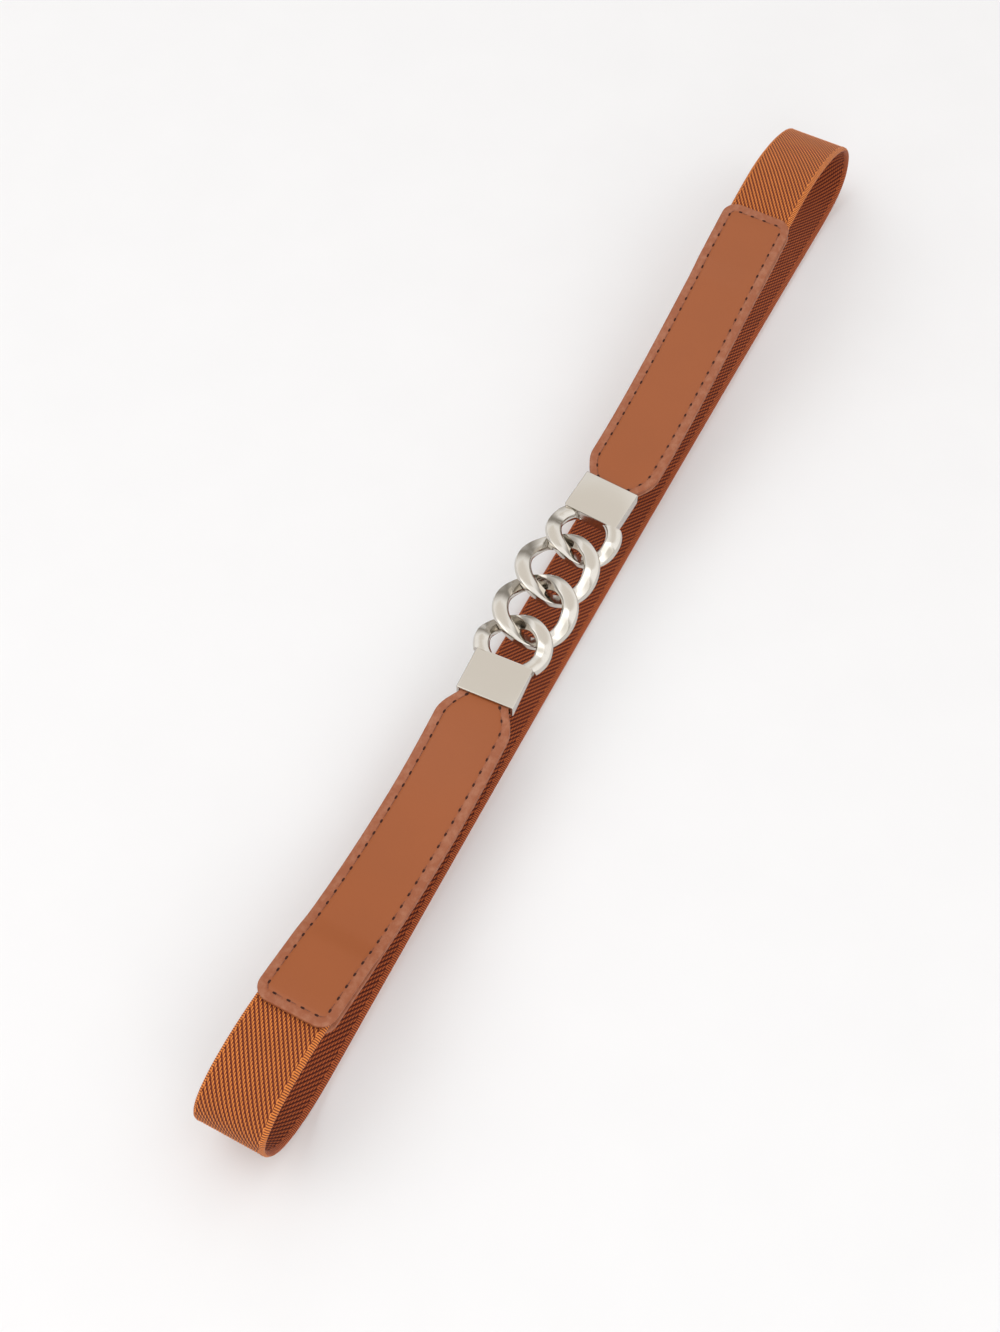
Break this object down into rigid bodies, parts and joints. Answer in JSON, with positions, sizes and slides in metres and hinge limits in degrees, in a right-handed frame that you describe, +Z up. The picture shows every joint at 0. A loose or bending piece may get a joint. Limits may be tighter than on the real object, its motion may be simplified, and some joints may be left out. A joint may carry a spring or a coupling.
{
  "type": "elastic waist belt",
  "caption": "Narrow elastic waist belt with stitched leather tabs and a silver chain-link clasp, fastened and lying on its side as a low loop.",
  "frame": {"origin": "middle of the loop's footprint, on the surface that the elastic lies on", "axes": "+X along the belt towards its higher end, +Y across its width, +Z up"},
  "size_m": [0.377, 0.0256, 0.0417],
  "materials": {
    "woven_elastic": "twill-woven elastic webbing",
    "tab_leather": "smooth coated leather, semi-matt",
    "plated_metal": "polished nickel plate"
  },
  "bodies": {
    "root": {"elastic_band": "woven_elastic", "tab_front_left": "tab_leather", "tab_back_left": "tab_leather", "tab_front_right": "tab_leather", "tab_back_right": "tab_leather", "end_cap_left": "plated_metal", "end_cap_right": "plated_metal", "chain_link_left": "plated_metal", "chain_link_right": "plated_metal"}
  },
  "joints": []
}
